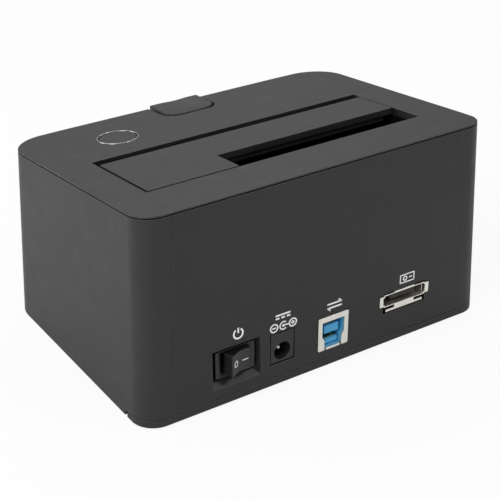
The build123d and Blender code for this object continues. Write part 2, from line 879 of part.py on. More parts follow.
def make_main_board():
    rear = rear_y(board_under + board_thickness) - wall - board_rear_gap
    board = box(
        -board_half_length, board_half_length, board_front, rear, board_under, board_under + board_thickness
    )
    half = pocket_length / 2 + pocket_shell + 2 * play
    back = port_y - pocket_sink - pocket_shell - 2 * play
    board -= box(pocket_x - half, pocket_x + half, back, foot_depth, 0, rear_height)
    for x in (-post_x, post_x):
        for y in post_y:
            board -= rod_z(x, y, screw_radius + slip, 0, rear_height)
    return board


def make_board_screws():
    screws = []
    for x in (-post_x, post_x):
        for y in post_y:
            place = Location((x, y, board_top), (180, 0, 0))
            screws.append(place * frame_screw(board_screw_length))
    return screws


def make_base_screws():
    screws = []
    for x in (-column_x, column_x):
        for y in column_y:
            place = Location((x, y, screw_head_height))
            screws.append(place * frame_screw(frame_screw_length))
    return screws


def make_cover_screws():
    screws = []
    for x, y in cover_bosses():
        place = Location((x, y, ear_height - ear_thickness))
        screws.append(place * frame_screw(frame_screw_length))
    return screws


def sata_slots():
    """First and last X of the data slot and of the power slot."""
    data = sata_x - sata_length / 2 + sata_margin
    power = data + sata_data_length + sata_bridge
    end = sata_x + sata_length / 2 - sata_margin
    return (data, data + sata_data_length), (power, end)


def make_sata_receptacle():
    half = sata_length / 2
    top = board_top + sata_height
    body = box(
        sata_x - half, sata_x + half, sata_y - sata_width / 2, sata_y + sata_width / 2, board_top, top
    )
    for low, high in sata_slots():
        body -= box(
            low, high, sata_y - sata_slot_width / 2, sata_y + sata_slot_width / 2,
            top - sata_slot_depth, top + 1,
        )
    return body


def make_sata_contacts():
    wall_y = sata_y - sata_slot_width / 2
    top = board_top + sata_height
    contacts = []
    for (low, high), count in zip(sata_slots(), (7, 14)):
        start = (low + high - sata_pitch * (count - 1)) / 2
        for step in range(count):
            x = start + sata_pitch * step
            contacts.append(box(
                x - sata_contact_width / 2, x + sata_contact_width / 2, wall_y,
                wall_y + sata_contact_thickness, top - sata_slot_depth, top - sata_pitch / 2,
            ))
    return contacts


def make_bridge_chip():
    return Location((chip_x, chip_y, board_top + chip_height / 2)) * Box(chip_side, chip_side, chip_height)


def make_crystal():
    middle = Location((crystal_x, chip_y, board_top + crystal_height / 2))
    can = middle * Box(crystal_width, crystal_length, crystal_height)
    return fillet(can.edges().filter_by(Axis.Z), crystal_width / 2 - running)


def make_capacitors():
    cans = []
    for x in (capacitor_x, capacitor_x + capacitor_pitch):
        can = rod_z(x, capacitor_y, capacitor_radius, board_under - capacitor_height, board_under)
        cans.append(chamfer(can.edges().group_by(Axis.Z)[0], capacitor_edge))
    return cans


# Rocker switch

def bezel_face():
    return port_y - pocket_sink + bezel_thickness


def make_switch_body():
    face = bezel_face()
    back = face - bezel_thickness
    bezel = box(
        switch_x - bezel_length / 2, switch_x + bezel_length / 2, back, face,
        switch_z - bezel_height / 2, switch_z + bezel_height / 2,
    )
    bezel = fillet(bezel.faces().sort_by(Axis.Y)[-1].edges(), 0.4)
    body = bezel + box(
        switch_x - switch_body_length / 2, switch_x + switch_body_length / 2, back - switch_body_depth,
        back + 0.5, switch_z - switch_body_height / 2, switch_z + switch_body_height / 2,
    )
    half = rocker_length / 2 + rocker_gap
    rise = rocker_height / 2 + rocker_gap
    body -= box(switch_x - half, switch_x + half, face - 8.5, face + 1, switch_z - rise, switch_z + rise)
    body -= funnel(
        (switch_x, face, switch_z), (2 * (half + bezel_slope), 2 * (rise + bezel_slope)),
        (switch_x, face - bezel_slope_depth, switch_z), (2 * half, 2 * rise),
    )
    pivot_y = face - rocker_pivot_depth
    reach = rocker_height / 2 + trunnion_length + play / 2
    body -= rod_z(switch_x, pivot_y, trunnion_radius + running, switch_z - reach, switch_z + reach)
    for x in (switch_x - terminal_spacing / 2, switch_x + terminal_spacing / 2):
        body -= terminal_blade(x, back - switch_body_depth, running)
    return body


def terminal_blade(x, seat, grow):
    return box(
        x - terminal_thickness / 2 - grow, x + terminal_thickness / 2 + grow,
        seat - terminal_length, seat + terminal_sunk + grow,
        switch_z - terminal_width / 2 - grow, switch_z + terminal_width / 2 + grow,
    )


def make_switch_rocker():
    """The rocker in its ON tilt: the end towards -X is pressed in."""
    face = bezel_face()
    end = rocker_length / 2 - 0.85
    belly = rocker_length / 2 - 0.45
    outline = [
        (-end, rocker_end_rise), (0, rocker_middle_rise), (end, rocker_end_rise), (belly, -1.0),
        (3.2, -4.2), (-3.2, -4.2), (-belly, -1.0),
    ]
    points = [(x, y + rocker_pivot_depth) for x, y in outline]
    profile = make_face(Polyline(*points, close=True))
    rocker = extrude(profile, amount=rocker_height / 2, both=True)
    rocker = fillet(rocker.edges().filter_by(Axis.Z).sort_by(Axis.X)[:2], 0.4)
    rocker = fillet(rocker.edges().filter_by(Axis.Z).sort_by(Axis.X)[-2:], 0.4)
    reach = rocker_height / 2 + trunnion_length
    rocker += Cylinder(trunnion_radius, 2 * reach)
    place = Location((switch_x, face - rocker_pivot_depth, switch_z), (0, 0, rocker_tilt))
    return place * rocker


def make_switch_terminals():
    seat = bezel_face() - bezel_thickness - switch_body_depth
    places = (switch_x - terminal_spacing / 2, switch_x + terminal_spacing / 2)
    return [terminal_blade(x, seat, 0) for x in places]


# Sockets on the rear panel

def make_jack_body():
    body = box(
        jack_x - jack_width / 2, jack_x + jack_width / 2, port_y - jack_depth, port_y - 0.1,
        port_top - jack_height, port_top,
    )
    return body - rod_y(jack_x, jack_bore_z, jack_bore, port_y - jack_bore_depth, port_y + 1)


def make_jack_pin():
    pin = rod_y(
        jack_x, jack_bore_z, jack_pin_radius, port_y - jack_bore_depth, port_y - jack_pin_back
    )
    return chamfer(pin.faces().sort_by(Axis.Y)[-1].edges(), jack_pin_radius * 0.5)


def usb_mouth(shrink, front, back):
    """The stepped mouth of the socket, wide side up, between two planes."""
    top = port_top - usb_mouth_top - shrink
    wide = usb_mouth_width / 2 - shrink
    narrow = usb_mouth_narrow / 2 - shrink
    shoulder = port_top - usb_mouth_top - usb_mouth_wide
    low = port_top - usb_mouth_top - usb_mouth_height + shrink
    corners = [
        (-wide, top), (wide, top), (wide, shoulder), (narrow, shoulder - usb_mouth_chamfer),
        (narrow, low), (-narrow, low), (-narrow, shoulder - usb_mouth_chamfer), (-wide, shoulder),
    ]
    outline = make_face(Polyline(*[(x + usb_x, z) for x, z in corners], close=True))
    return Location((0, front, 0)) * extrude(Plane.XZ * outline, amount=front - back)


def make_usb_shell():
    face = port_y + 0.2
    shell = box(
        usb_x - usb_width / 2, usb_x + usb_width / 2, port_y - usb_depth, face,
        port_top - usb_height, port_top,
    )
    shell = fillet(shell.edges().filter_by(Axis.Y), 0.5)
    shell -= usb_mouth(0, face + 1, port_y - usb_depth - 1)
    low = port_top - usb_height
    for side in (-1, 1):
        x = usb_x + side * (usb_mouth_narrow / 2 - 0.35)
        shell -= box(x - 0.25, x + 0.25, port_y - 5, face + 1, low - 1, low + 1.2)
    return shell


def usb_tongues():
    """Width, low and high edge of the two contact tongues."""
    upper = port_top - usb_upper_drop
    lower = port_top - usb_lower_drop
    return (
        (usb_upper_width, upper - usb_upper_thickness, upper),
        (usb_lower_width, lower - usb_lower_thickness, lower),
    )


def make_usb_insert():
    front = port_y - usb_mouth_depth
    insert = usb_mouth(running, front, port_y - usb_depth)
    for width, low, high in usb_tongues():
        insert += box(usb_x - width / 2, usb_x + width / 2, front - 1, port_y - usb_tongue_back, low, high)
    lining = usb_mouth(running, port_y - usb_lining_back, front - 0.5)
    return insert + (lining - usb_mouth(usb_lining, port_y, front - 1))


def make_usb_contacts():
    contacts = []
    front = port_y - usb_tongue_back - 0.6
    back = port_y - usb_mouth_depth
    upper, lower = usb_tongues()
    for x in (-1.25, 1.25):
        for z in (upper[1] - 0.2, upper[2]):
            contacts.append(box(usb_x + x - 0.5, usb_x + x + 0.5, back, front, z, z + 0.2))
    for step in range(-2, 3):
        x = usb_x + step * 0.95
        contacts.append(box(x - 0.25, x + 0.25, back, front, lower[2], lower[2] + 0.2))
    return contacts


def make_esata_shell():
    half = esata_width / 2
    rise = esata_height / 2
    face = port_y + 0.1
    shell = box(esata_x - half, esata_x + half, port_y - esata_depth, face, esata_z - rise, esata_z + rise)
    shell -= box(
        esata_x - half + esata_wall, esata_x + half - esata_wall, port_y - esata_depth - 1, face + 1,
        esata_z - rise + esata_wall, esata_z + rise - esata_wall,
    )
    for side in (-1, 1):
        low, high = sorted((side * (half - 0.1), side * (half + esata_tab)))
        tab = box(
            esata_x + low, esata_x + high, face - 0.5, face,
            esata_z - esata_tab_height / 2, esata_z + esata_tab_height / 2,
        )
        shell += fillet(tab.edges().filter_by(Axis.Y), 0.35)
        slit = sorted((side * (half - esata_wall - 0.1), side * (half + esata_slit)))
        shell -= box(
            esata_x + slit[0], esata_x + slit[1], face - 1.0, face + 1,
            esata_z - esata_tab_height / 2 + 0.5, esata_z + esata_tab_height / 2 - 0.5,
        )
    top = esata_z + rise
    shell += box(esata_x - 4.1, esata_x + 4.1, port_y - wall, face, top - 0.1, top + 0.4)
    low = esata_z - rise
    leaf = box(esata_x - 4.2, esata_x + 4.2, face - 0.5, face, low - 1.9, low + 0.1)
    leaf += box(esata_x - 7.8, esata_x + 7.8, face - 0.5, face, low - 1.9, low - 1.1)
    return shell + leaf


def make_esata_insert():
    half = esata_width / 2 - esata_wall - running
    rise = esata_height / 2 - esata_wall - running
    front = port_y - esata_mouth_depth
    insert = box(
        esata_x - half, esata_x + half, port_y - esata_depth, front, esata_z - rise, esata_z + rise
    )
    return insert + box(esata_x - 5.2, esata_x + 5.2, front - 1, port_y - 1.2, esata_z - 0.6, esata_z + 0.6)


def make_esata_contacts():
    contacts = []
    for step in range(-3, 4):
        x = esata_x + step * 1.27
        contacts.append(box(
            x - 0.3, x + 0.3, port_y - esata_mouth_depth, port_y - 1.8, esata_z - 0.75, esata_z - 0.6
        ))
    return contacts


pieces = {
    "body_shell": make_body_shell,
    "top_cover": make_top_cover,
    "rear_panel": make_rear_panel,
    "base_cover": make_base_cover,
    "rubber_feet": make_rubber_feet,
    "drive_cradle": make_drive_cradle,
    "flap_door": make_flap_door,
    "flap_pin": make_flap_pin,
    "flap_spring": make_flap_spring,
    "eject_button": make_eject_button,
    "eject_clip": make_eject_clip,
    "eject_spring": make_eject_spring,
    "eject_lever": make_eject_lever,
    "lever_pin": make_lever_pin,
    "button_ring": make_button_ring,
    "round_button": make_round_button,
    "tact_plunger": make_tact_plunger,
    "tact_switch": make_tact_switch,
    "key_board": make_key_board,
    "key_board_screws": make_key_board_screws,
    "main_board": make_main_board,
    "board_screws": make_board_screws,
    "base_screws": make_base_screws,
    "cover_screws": make_cover_screws,
    "sata_receptacle": make_sata_receptacle,
    "sata_contacts": make_sata_contacts,
    "bridge_chip": make_bridge_chip,
    "crystal": make_crystal,
    "capacitors": make_capacitors,
    "switch_body": make_switch_body,
    "switch_rocker": make_switch_rocker,
    "switch_terminals": make_switch_terminals,
    "jack_body": make_jack_body,
    "jack_pin": make_jack_pin,
    "usb_shell": make_usb_shell,
    "usb_insert": make_usb_insert,
    "usb_contacts": make_usb_contacts,
    "esata_shell": make_esata_shell,
    "esata_insert": make_esata_insert,
    "esata_contacts": make_esata_contacts,
}

made = {}
for name, make in pieces.items():
    result = make()
    made[name] = result if isinstance(result, list) else [result]

# The origin goes to the middle of the whole object's underside.
whole = Compound([solid for solids in made.values() for solid in solids]).bounding_box()
origin = Location((-whole.center().X, -whole.center().Y, -whole.min.Z))

os.makedirs("parts", exist_ok=True)
for name, solids in made.items():
    placed = [solid.moved(origin) for solid in solids]
    shape = placed[0] if len(placed) == 1 else Compound(children=placed)
    export_step(shape, "parts/" + name + ".step")

print("origin moved by", origin.position)
print("flap hinge", hinge_y, hinge_z)
print("rocker pivot", switch_x, bezel_face() - rocker_pivot_depth)
print("lever pivot", lever_y, lever_z)
print("lever angle", degrees(asin(button_travel / (lever_y - stem_y))))
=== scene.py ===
import json
import math

import bmesh
import bpy
from mathutils import Matrix, Vector


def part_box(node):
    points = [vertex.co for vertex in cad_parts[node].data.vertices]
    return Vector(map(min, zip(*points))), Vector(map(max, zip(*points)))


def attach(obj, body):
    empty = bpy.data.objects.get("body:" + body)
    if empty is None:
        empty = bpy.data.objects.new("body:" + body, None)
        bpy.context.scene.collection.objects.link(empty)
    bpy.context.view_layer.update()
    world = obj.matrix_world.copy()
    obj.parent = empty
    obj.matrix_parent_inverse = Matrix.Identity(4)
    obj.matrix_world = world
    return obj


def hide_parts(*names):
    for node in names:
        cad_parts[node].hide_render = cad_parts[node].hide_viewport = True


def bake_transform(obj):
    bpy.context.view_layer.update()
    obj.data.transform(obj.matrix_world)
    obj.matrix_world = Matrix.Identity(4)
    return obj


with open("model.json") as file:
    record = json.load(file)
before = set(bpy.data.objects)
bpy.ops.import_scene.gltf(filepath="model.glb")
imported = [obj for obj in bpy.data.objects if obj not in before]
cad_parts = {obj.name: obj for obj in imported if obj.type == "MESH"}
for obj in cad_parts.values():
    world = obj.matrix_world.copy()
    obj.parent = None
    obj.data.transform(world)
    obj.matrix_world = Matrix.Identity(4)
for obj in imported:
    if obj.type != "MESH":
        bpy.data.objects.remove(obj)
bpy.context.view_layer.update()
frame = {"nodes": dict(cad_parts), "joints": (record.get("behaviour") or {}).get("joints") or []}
joints = {joint["name"]: joint for joint in frame["joints"]}

mm = 0.001

# Camera, where it stood for the photograph

picture_width = 500
focal_pixels = 1285.25
sensor_width = 36.0
camera_turn = math.radians(146.477)
camera_lift = math.radians(28.732)
camera_distance = 441.13 * mm
camera_slide = 1.935 * mm
camera_sink = -9.839 * mm
aim_height = 32.5 * mm

# Housing, whose middle lies in front of the origin because the switch's rocker stands out behind

feet_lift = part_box("body_shell")[0].z
housing_shift = -0.789 * mm
housing_height = 71.0 * mm
housing_proportion = 1.4
rear_foot_y = 48.0 * mm + housing_shift
rear_lean = 1.7 * mm / housing_height
lid_normal = -Vector(joints["round_press"]["axis"])


# Shader nodes

def set_inputs(tree, node, values):
    """Links each value to the node's input, or sets it there where it is a plain number or colour."""
    for label, value in values.items():
        if isinstance(value, bpy.types.NodeSocket):
            tree.links.new(value, node.inputs[label])
        else:
            node.inputs[label].default_value = value


def noise(tree, place, scale, detail, roughness=0.5):
    made = tree.nodes.new("ShaderNodeTexNoise")
    set_inputs(tree, made, {"Vector": place, "Scale": scale, "Detail": detail, "Roughness": roughness})
    return made.outputs["Fac"]


def object_place(tree, stretch=(1, 1, 1)):
    coordinates = tree.nodes.new("ShaderNodeTexCoord")
    mapping = tree.nodes.new("ShaderNodeMapping")
    set_inputs(tree, mapping, {"Vector": coordinates.outputs["Object"], "Scale": stretch})
    return mapping.outputs["Vector"]


def spread(tree, value, low, high, smallest, largest):
    """Maps a value from one span to another, held at its ends."""
    made = tree.nodes.new("ShaderNodeMapRange")
    set_inputs(tree, made, {
        "Value": value, "From Min": low, "From Max": high, "To Min": smallest, "To Max": largest,
    })
    return made.outputs["Result"]


def math_node(tree, kind, first, second):
    made = tree.nodes.new("ShaderNodeMath")
    made.operation = kind
    set_inputs(tree, made, {0: first, 1: second})
    return made.outputs["Value"]


def mixed_colour(tree, share, first, second):
    made = tree.nodes.new("ShaderNodeMix")
    made.data_type = "RGBA"
    set_inputs(tree, made, {0: share, 6: first, 7: second})
    return made.outputs[2]


def rounded_normal(tree, radius):
    """The normal with every edge broken by a small radius."""
    bevel = tree.nodes.new("ShaderNodeBevel")
    bevel.samples = 6
    set_inputs(tree, bevel, {"Radius": radius})
    return bevel.outputs["Normal"]


# Effects that the finishes share

def new_group(name, inputs):
    """A shader node group that puts out a colour, a roughness and a height."""
    group = bpy.data.node_groups.new(name, "ShaderNodeTree")
    for label, value in inputs.items():
        kind = "NodeSocketColor" if isinstance(value, tuple) else "NodeSocketFloat"
        made = group.interface.new_socket(name=label, in_out="INPUT", socket_type=kind)
        made.default_value = value
    for label, kind in (("Colour", "NodeSocketColor"), ("Roughness", "NodeSocketFloat"),
                        ("Height", "NodeSocketFloat")):
        group.interface.new_socket(name=label, in_out="OUTPUT", socket_type=kind)
    start = group.nodes.new("NodeGroupInput")
    end = group.nodes.new("NodeGroupOutput")
    return group, start.outputs, end


def make_spark_grain():
    """Spark-eroded mould grain: fine pits, a cloudy tone and a little dust."""
    group, given, end = new_group("spark_grain", {
        "Colour": (0.02, 0.02, 0.02, 1),
        "Light colour": (0.05, 0.05, 0.05, 1),
        "Grain scale": 2600.0,
        "Roughness low": 0.4,
        "Roughness high": 0.6,
        "Dust": 0.1,
    })
    cloud_scale = 28.0
    smear_scale = 160.0
    pit_share = 0.8
    dust_colour = (0.24, 0.235, 0.225, 1)
    place = object_place(group)
    pits = noise(group, place, given["Grain scale"], 3, 0.6)
    clouds = noise(group, place, cloud_scale, 2)
    smears = noise(group, place, smear_scale, 4, 0.65)
    pitted = spread(group, pits, 0.35, 0.75, 0.0, pit_share)
    clouded = spread(group, clouds, 0.35, 0.65, 0.0, 1 - pit_share)
    tone = math_node(group, "ADD", pitted, clouded)
    body = mixed_colour(group, tone, given["Colour"], given["Light colour"])
    settled = math_node(group, "MULTIPLY", spread(group, smears, 0.52, 0.78, 0.0, 1.0), given["Dust"])
    set_inputs(group, end, {
        "Colour": mixed_colour(group, settled, body, dust_colour),
        "Roughness": spread(group, smears, 0.3, 0.7, given["Roughness low"], given["Roughness high"]),
        "Height": pits,
    })
    return group


def make_metal_streaks():
    """Rolled or drawn metal: streaks along one way, and a dull bloom."""
    group, given, end = new_group("metal_streaks", {
        "Colour": (0.6, 0.6, 0.6, 1),
        "Dull colour": (0.4, 0.4, 0.4, 1),
        "Bloom": 0.3,
        "Roughness low": 0.18,
        "Roughness high": 0.36,
    })
    streak_stretch = (220, 5200, 5200)
    bloom_scale = 420.0
    streaks = noise(group, object_place(group, streak_stretch), 1.0, 2)
    bloom = noise(group, object_place(group), bloom_scale, 3)
    dull = math_node(group, "MULTIPLY", spread(group, bloom, 0.42, 0.7, 0.0, 1.0), given["Bloom"])
    set_inputs(group, end, {
        "Colour": mixed_colour(group, dull, given["Colour"], given["Dull colour"]),
        "Roughness": spread(group, streaks, 0.3, 0.7, given["Roughness low"], given["Roughness high"]),
        "Height": streaks,
    })
    return group


spark_grain = make_spark_grain()
metal_streaks = make_metal_streaks()


def placed_group(tree, group, values):
    made = tree.nodes.new("ShaderNodeGroup")
    made.node_tree = group
    set_inputs(tree, made, values)
    return made.outputs


def edge_share(tree, radius):
    """Near 1 on the small radius of an outer edge, 0 on the faces beside it."""
    face_agreement = 0.985
    edge_agreement = 0.86
    flat = tree.nodes.new("ShaderNodeNewGeometry")
    agreement = tree.nodes.new("ShaderNodeVectorMath")
    agreement.operation = "DOT_PRODUCT"
    set_inputs(tree, agreement, {0: rounded_normal(tree, radius), 1: flat.outputs["True Normal"]})
    return spread(tree, agreement.outputs["Value"], face_agreement, edge_agreement, 0.0, 1.0)


def relief(tree, height, strength, depth, edge):
    """Bump from a height, over edges that are broken by a small radius."""
    bump = tree.nodes.new("ShaderNodeBump")
    set_inputs(tree, bump, {"Strength": strength, "Distance": depth, "Height": height})
    if edge:
        set_inputs(tree, bump, {"Normal": rounded_normal(tree, edge)})
    return bump.outputs["Normal"]


# Finishes

def blank_material(name):
    material = bpy.data.materials.new(name)
    material.use_nodes = True
    return material, material.node_tree, material.node_tree.nodes["Principled BSDF"]


def grey(level):
    return (level, level, level, 1)


grain_depth = 0.03 * mm
# Lighter grey for outer edges: partly rubbed wear, partly a painted highlight along the edge
wear_and_highlight_grey = grey(0.16)
worn_roughness = 0.24


def moulded(name, dark, light, grain=2600.0, rough=(0.42, 0.58), dust=0.05, strength=0.25,
            edge=0.25 * mm, specular=0.5, wear_and_highlight=0.5):
    """Moulded plastic with a grain, a little dust and edges that are rubbed smoother, and painted
    lighter as part wear and part painted highlight.
    """
    material, tree, shader = blank_material(name)
    grained = placed_group(tree, spark_grain, {
        "Colour": dark,
        "Light colour": light,
        "Grain scale": grain,
        "Roughness low": rough[0],
        "Roughness high": rough[1],
        "Dust": dust,
    })
    colour = grained["Colour"]
    roughness = grained["Roughness"]
    if edge:
        wear_and_highlight_edge = edge_share(tree, edge)
        # Edges painted lighter: part wear, part painted highlight
        colour = mixed_colour(tree, math_node(tree, "MULTIPLY", wear_and_highlight_edge, wear_and_highlight), colour, wear_and_highlight_grey)
        roughness = spread(tree, wear_and_highlight_edge, 0.0, 1.0, roughness, worn_roughness)
    set_inputs(tree, shader, {
        "Base Color": colour,
        "Roughness": roughness,
        "Normal": relief(tree, grained["Height"], strength, grain_depth, edge),
        "Specular IOR Level": specular,
    })
    return material


streak_depth = 0.01 * mm
streak_strength = 0.12
metal_edge = 0.12 * mm


def metal(name, bright, dull, bloom=0.3, rough=(0.18, 0.36)):
    """Bare or plated metal with fine streaks and dull patches."""
    material, tree, shader = blank_material(name)
    streaked = placed_group(tree, metal_streaks, {
        "Colour": bright,
        "Dull colour": dull,
        "Bloom": bloom,
        "Roughness low": rough[0],
        "Roughness high": rough[1],
    })
    set_inputs(tree, shader, {
        "Base Color": streaked["Colour"],
        "Roughness": streaked["Roughness"],
        "Normal": relief(tree, streaked["Height"], streak_strength, streak_depth, metal_edge),
        "Metallic": 1.0,
    })
    return material


satin = (0.46, 0.54)
fine_grain = 4200.0
finest_grain = 5200.0

cover_black = moulded("cover_black", grey(0.010), grey(0.017), rough=satin, dust=0.02)
shell_black = moulded("shell_black", grey(0.009), grey(0.016), rough=satin, dust=0.02)
panel_black = moulded("panel_black", grey(0.008), grey(0.014), grain=3000.0, rough=satin, dust=0.02)
base_black = moulded("base_black", grey(0.009), grey(0.015), rough=satin, dust=0.03)
flap_black = moulded("flap_black", grey(0.010), grey(0.017), rough=satin, dust=0.02)
button_black = moulded("button_black", grey(0.010), grey(0.017), rough=satin, dust=0.02)
# Painted shade: a near-black, barely reflecting finish that stands in for the shadow inside the
# housing
painted_shade_black = moulded(
    "painted_shade_black", grey(0.003), grey(0.005), rough=(0.6, 0.75), dust=0.0, specular=0.03, wear_and_highlight=0.02,
)
lever_black = moulded("lever_black", grey(0.008), grey(0.014), rough=(0.35, 0.5))
rubber_black = moulded(
    "rubber_black", grey(0.010), grey(0.017), grain=finest_grain, rough=(0.7, 0.88), dust=0.2,
)
switch_black = moulded(
    "switch_black", grey(0.006), grey(0.010), grain=fine_grain, rough=(0.28, 0.4), strength=0.12,
)
rocker_black = moulded(
    "rocker_black", grey(0.007), grey(0.012), grain=finest_grain, rough=(0.26, 0.36), strength=0.1,
)
jack_black = moulded("jack_black", grey(0.010), grey(0.016), grain=fine_grain, rough=(0.4, 0.52))
connector_black = moulded("connector_black", grey(0.006), grey(0.010), rough=(0.34, 0.48))
insert_blue = moulded(
    "insert_blue", (0.040, 0.330, 0.640, 1), (0.090, 0.450, 0.760, 1), grain=fine_grain,
    rough=(0.3, 0.45), strength=0.12, dust=0.02,
)
tact_grey = moulded("tact_grey", grey(0.20), grey(0.26), rough=(0.45, 0.6))
board_green = moulded(
    "board_green", (0.006, 0.070, 0.030, 1), (0.010, 0.105, 0.046, 1), grain=900.0, rough=(0.22, 0.4),
    strength=0.1, dust=0.03,
)
chip_black = moulded("chip_black", grey(0.012), grey(0.020), rough=(0.5, 0.65))
ink_white = moulded(
    "ink_white", grey(0.90), grey(0.96), grain=finest_grain, rough=(0.5, 0.66), strength=0.1, edge=0,
    dust=0.02,
)

tinned_steel = metal("tinned_steel", (0.93, 0.90, 0.83, 1), (0.74, 0.71, 0.64, 1), rough=(0.3, 0.5))
zinc_steel = metal("zinc_steel", grey(0.60), (0.36, 0.36, 0.37, 1), bloom=0.5, rough=(0.28, 0.46))
ground_steel = metal("ground_steel", grey(0.66), grey(0.48), rough=(0.2, 0.34))
ring_chrome = metal(
    "ring_chrome", (0.72, 0.73, 0.75, 1), (0.56, 0.57, 0.59, 1), bloom=0.2, rough=(0.10, 0.20),
)
gold_flash = metal("gold_flash", (0.82, 0.58, 0.20, 1), (0.60, 0.40, 0.14, 1), rough=(0.2, 0.34))
can_aluminium = metal("can_aluminium", (0.74, 0.74, 0.75, 1), (0.55, 0.55, 0.56, 1))


# Objects

def put_in_scene(name, data):
    """An object for a mesh, a lamp or a camera, shown in the scene."""
    made = bpy.data.objects.new(name, data)
    bpy.context.scene.collection.objects.link(made)
    return made


def object_from(shape, name, finish):
    """An object from a worked bmesh, which is freed."""
    mesh = bpy.data.meshes.new(name)
    shape.to_mesh(mesh)
    shape.free()
    mesh.materials.append(finish)
    return put_in_scene(name, mesh)


def turned_to(place, direction):
    """A frame at a place, with its own Z along a direction."""
    return Matrix.Translation(place) @ direction.to_track_quat("Z", "Y").to_matrix().to_4x4()


# Walls that are seen only in the shadow inside the housing, which get painted shade: a near-black
# finish that barely reflects

inward_margin = 0.5 * mm
opening_half_length = 56 * mm
opening_front_y = -30 * mm
least_upward = 0.5


def faces_inward(face):
    """Whether a face of the shell looks towards the middle of the housing."""
    middle = face.calc_center_median()
    outward = Vector((middle.x / housing_proportion, middle.y, 0))
    return face.normal.dot(outward) < -inward_margin


def faces_sideways(face):
    """Whether a face of the lid or the flap is a wall of an opening."""
    middle = face.calc_center_median()
    near_opening = abs(middle.x) < opening_half_length and middle.y > opening_front_y
    return near_opening and face.normal.dot(lid_normal) < least_upward


# Which faces of each piece get the painted shade finish
painted_shade_faces = {
    "body_shell": faces_inward,
    "rear_panel": faces_inward,
    "top_cover": faces_sideways,
    "flap_door": faces_sideways,
}


# Pieces with round faces

merge_distance = 0.002 * mm
flat_turn = math.radians(0.4)
sharp_turn = math.radians(28)


def smoothed(node, body, finish):
    """A copy of a CAD piece with its round faces shaded round, in its place."""
    mesh = frame["nodes"][node].data.copy()
    mesh.name = node + "_smooth"
    shape = bmesh.new()
    shape.from_mesh(mesh)
    bmesh.ops.remove_doubles(shape, verts=shape.verts, dist=merge_distance)
    bmesh.ops.dissolve_limit(
        shape, angle_limit=flat_turn, verts=shape.verts, edges=shape.edges,
        use_dissolve_boundaries=False, delimit=set(),
    )
    for edge in shape.edges:
        edge.smooth = edge.is_manifold and edge.calc_face_angle(0) < sharp_turn
    for face in shape.faces:
        face.smooth = True
        # Walls that look into the housing or the opening take the second slot, painted shade
        face.material_index = int(node in painted_shade_faces and painted_shade_faces[node](face))
    shape.to_mesh(mesh)
    shape.free()
    mesh.materials.clear()
    mesh.materials.append(finish)
    if node in painted_shade_faces:
        mesh.materials.append(painted_shade_black)
    piece = put_in_scene(node + "_smooth", mesh)
    evened = piece.modifiers.new("even_shading", "WEIGHTED_NORMAL")
    evened.mode = "FACE_AREA"
    evened.weight = 50
    evened.keep_sharp = True
    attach(piece, body)
    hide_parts(node)


smooth_pieces = [
    ("body_shell", "chassis", "shell_plastic", shell_black),
    ("top_cover", "chassis", "cover_plastic", cover_black),
    ("base_cover", "chassis", "base_plastic", base_black),
    ("rear_panel", "chassis", "panel_plastic", panel_black),
    ("rubber_feet", "chassis", "foot_rubber", rubber_black),
    ("flap_door", "flap", "flap_plastic", flap_black),
    ("eject_button", "eject_key", "button_plastic", button_black),
    ("button_ring", "chassis", "bright_ring", ring_chrome),
    ("round_button", "round_key", "round_button_plastic", button_black),
    ("jack_body", "chassis", "jack_plastic", jack_black),
    ("jack_pin", "chassis", "pin_steel", ground_steel),
    ("switch_rocker", "rocker", "rocker_plastic", rocker_black),
    ("base_screws", "chassis", "screw_steel", zinc_steel),
    ("eject_lever", "lever", "lever_plastic", lever_black),
    ("capacitors", "chassis", "can_metal", can_aluminium),
]
for node, body, slot, finish in smooth_pieces:
    smoothed(node, body, finish)


# Pieces that keep their CAD shape

plain_pieces = {
    # The cradle, seen only down in the shadowed bay, gets painted shade
    "drive_cradle": painted_shade_black,
    "flap_pin": ground_steel,
    "eject_clip": ground_steel,
    "lever_pin": ground_steel,
    "tact_plunger": connector_black,
    "tact_switch": tact_grey,
    "key_board": board_green,
    "key_board_screws": zinc_steel,
    "main_board": board_green,
    "board_screws": zinc_steel,
    "cover_screws": zinc_steel,
    "sata_receptacle": connector_black,
    "sata_contacts": gold_flash,
    "bridge_chip": chip_black,
    "crystal": can_aluminium,
    "switch_body": switch_black,
    "switch_terminals": gold_flash,
    "usb_shell": tinned_steel,
    "usb_insert": insert_blue,
    "usb_contacts": gold_flash,
    "esata_shell": tinned_steel,
    "esata_insert": connector_black,
    "esata_contacts": gold_flash,
}
for node, finish in plain_pieces.items():
    materials = frame["nodes"][node].data.materials
    materials.clear()
    materials.append(finish)


# Springs, wound from wire between the two bodies that they push apart

steps_per_turn = 20
wire_sides = 10
flap_spring_wire = 0.2 * mm
flap_spring_turns = 14
eject_spring_wire = 0.25 * mm
eject_spring_turns = 5


def wind(shape, centre, axis, out, length, wire, turns):
    """Winds a round wire round an axis, from a point that lies out from its centre."""
    across = turned_to(centre + out, axis.cross(out).normalized())
    ring = bmesh.ops.create_circle(shape, segments=wire_sides, radius=wire, matrix=across)["verts"]
    edges = list({edge for vertex in ring for edge in vertex.link_edges})
    steps = round(turns * steps_per_turn)
    bmesh.ops.spin(
        shape, geom=ring + edges, cent=centre, axis=axis, dvec=axis * length / steps,
        angle=turns * math.tau, steps=steps,
    )
    open_edges = [edge for edge in shape.edges if edge.is_boundary]
    bmesh.ops.holes_fill(shape, edges=open_edges, sides=0)


def add_leg(shape, start, end, wire):
    """A straight leg of wire between two places."""
    along = end - start
    bmesh.ops.create_cone(
        shape, cap_ends=True, segments=wire_sides, radius1=wire, radius2=wire, depth=along.length,
        matrix=turned_to((start + end) / 2, along),
    )


